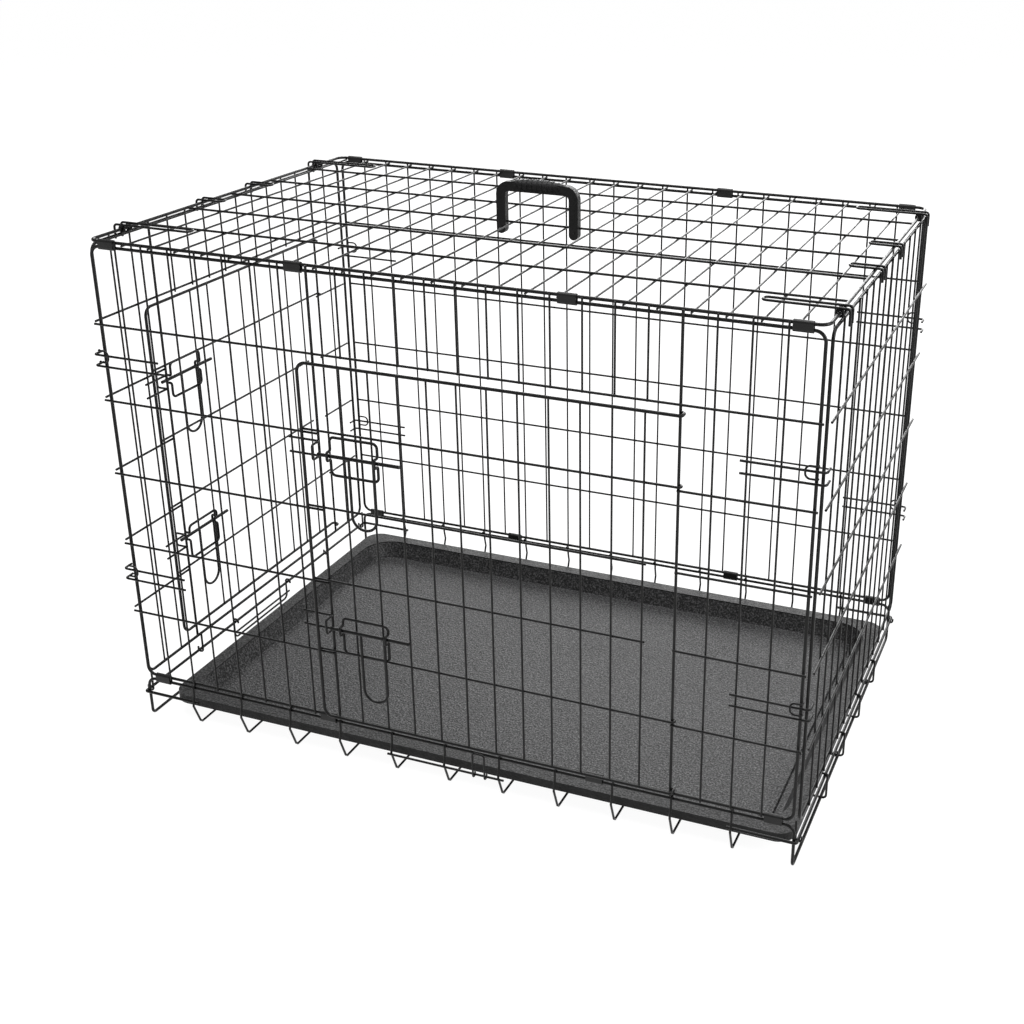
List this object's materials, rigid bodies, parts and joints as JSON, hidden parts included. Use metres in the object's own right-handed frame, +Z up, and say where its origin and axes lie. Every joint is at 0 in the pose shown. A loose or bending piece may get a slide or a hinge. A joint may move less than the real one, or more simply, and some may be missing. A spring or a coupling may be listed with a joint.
{
  "type": "wire dog crate",
  "caption": "Folding black wire dog crate with a side door and an end door on slide bolts, a removable plastic pan and a carry handle on top.",
  "frame": {"origin": "on the floor, under the centre of the four corner posts", "axes": "+X along the length towards the plain end, +Y from the front panel with the side door towards the back panel, +Z up"},
  "size_m": [0.9529, 0.6163, 0.7285],
  "materials": {
    "powder_coat": "satin black powder coat",
    "clip_steel": "satin black coated sheet steel",
    "handle_plastic": "fine-grained black plastic",
    "pan_plastic": "grained black plastic"
  },
  "bodies": {
    "crate": {"base_rim": "powder_coat", "base_cross_wires": "powder_coat", "base_end_wires": "powder_coat", "base_long_wires": "powder_coat", "base_clip_wire": "powder_coat", "front_frame": "powder_coat", "front_uprights": "powder_coat", "front_jambs": "powder_coat", "front_rails": "powder_coat", "front_keepers": "powder_coat", "front_side_hooks": "powder_coat", "back_frame": "powder_coat", "back_uprights": "powder_coat", "back_rails": "powder_coat", "back_side_hooks": "powder_coat", "top_frame": "powder_coat", "top_cross_wires": "powder_coat", "top_long_wires": "powder_coat", "top_stops": "powder_coat", "top_clips": "clip_steel", "bottom_clips": "clip_steel"},
    "front_door": {"front_door_frame": "powder_coat", "front_door_uprights": "powder_coat", "front_door_rails": "powder_coat", "front_door_guides": "powder_coat"},
    "front_bolt_hi": {"front_bolt_upper": "powder_coat"},
    "front_bolt_lo": {"front_bolt_lower": "powder_coat"},
    "left_end": {"left_frame": "powder_coat", "left_uprights": "powder_coat", "left_jambs": "powder_coat", "left_rails": "powder_coat", "left_hooks": "powder_coat", "left_keepers": "powder_coat"},
    "end_door": {"end_door_frame": "powder_coat", "end_door_uprights": "powder_coat", "end_door_rails": "powder_coat", "end_door_guides": "powder_coat"},
    "end_bolt_hi": {"end_bolt_upper": "powder_coat"},
    "end_bolt_lo": {"end_bolt_lower": "powder_coat"},
    "right_end": {"right_frame": "powder_coat", "right_uprights": "powder_coat", "right_rails": "powder_coat", "right_hooks": "powder_coat"},
    "lever_lf": {"lever_left_front": "powder_coat"},
    "lever_lb": {"lever_left_back": "powder_coat"},
    "lever_rf": {"lever_right_front": "powder_coat"},
    "lever_rb": {"lever_right_back": "powder_coat"},
    "carry_handle": {"handle": "handle_plastic", "handle_pins": "clip_steel"},
    "pan_body": {"pan": "pan_plastic"},
    "gate": {"pan_gate": "powder_coat"},
    "catch": {"front_clip": "powder_coat"}
  },
  "joints": [
    {"name": "front_door_hinge", "type": "hinge", "parent": "crate", "child": "front_door", "pos_m": [0.3032, -0.2954, 0.314], "axis": [0, 0, 1], "range_deg": [0, 150]},
    {"name": "front_bolt_upper_slide", "type": "slide", "parent": "front_door", "child": "front_bolt_hi", "axis": [1, 0, 0], "range_m": [-0.022, 0]},
    {"name": "front_bolt_lower_slide", "type": "slide", "parent": "front_door", "child": "front_bolt_lo", "axis": [1, 0, 0], "range_m": [-0.022, 0]},
    {"name": "left_end_fold", "type": "hinge", "parent": "crate", "child": "left_end", "pos_m": [-0.4612, 0, 0.038], "axis": [0, 1, 0], "range_deg": [0, 90]},
    {"name": "end_door_hinge", "type": "hinge", "parent": "left_end", "child": "end_door", "pos_m": [-0.4639, 0.20955, 0.314], "axis": [0, 0, 1], "range_deg": [-150, 0]},
    {"name": "end_bolt_upper_slide", "type": "slide", "parent": "end_door", "child": "end_bolt_hi", "axis": [0, -1, 0], "range_m": [0, 0.022]},
    {"name": "end_bolt_lower_slide", "type": "slide", "parent": "end_door", "child": "end_bolt_lo", "axis": [0, -1, 0], "range_m": [0, 0.022]},
    {"name": "right_end_fold", "type": "hinge", "parent": "crate", "child": "right_end", "pos_m": [0.4612, 0, 0.038], "axis": [0, -1, 0], "range_deg": [0, 86]},
    {"name": "lever_left_front_lift", "type": "hinge", "parent": "crate", "child": "lever_lf", "pos_m": [-0.457, -0.2235, 0.6714], "axis": [0, -1, 0], "range_deg": [0, 45]},
    {"name": "lever_left_back_lift", "type": "hinge", "parent": "crate", "child": "lever_lb", "pos_m": [-0.457, 0.2235, 0.6714], "axis": [0, -1, 0], "range_deg": [0, 45]},
    {"name": "lever_right_front_lift", "type": "hinge", "parent": "crate", "child": "lever_rf", "pos_m": [0.457, -0.237, 0.6714], "axis": [0, 1, 0], "range_deg": [0, 45]},
    {"name": "lever_right_back_lift", "type": "hinge", "parent": "crate", "child": "lever_rb", "pos_m": [0.457, 0.237, 0.6714], "axis": [0, 1, 0], "range_deg": [0, 45]},
    {"name": "handle_fold", "type": "hinge", "parent": "crate", "child": "carry_handle", "pos_m": [0.009, 0, 0.6709], "axis": [1, 0, 0], "range_deg": [-78, 78]},
    {"name": "pan_play", "type": "slide", "parent": "crate", "child": "pan_body", "axis": [1, 0, 0], "range_m": [-0.02, 0.002]},
    {"name": "pan_gate_lift", "type": "hinge", "parent": "crate", "child": "gate", "pos_m": [-0.4612, -0.0135, 0.038], "axis": [0, 1, 0], "range_deg": [0, 110]},
    {"name": "front_clip_swing", "type": "hinge", "parent": "crate", "child": "catch", "pos_m": [0.052, -0.3023, 0.034], "axis": [1, 0, 0], "range_deg": [0, 120]}
  ]
}
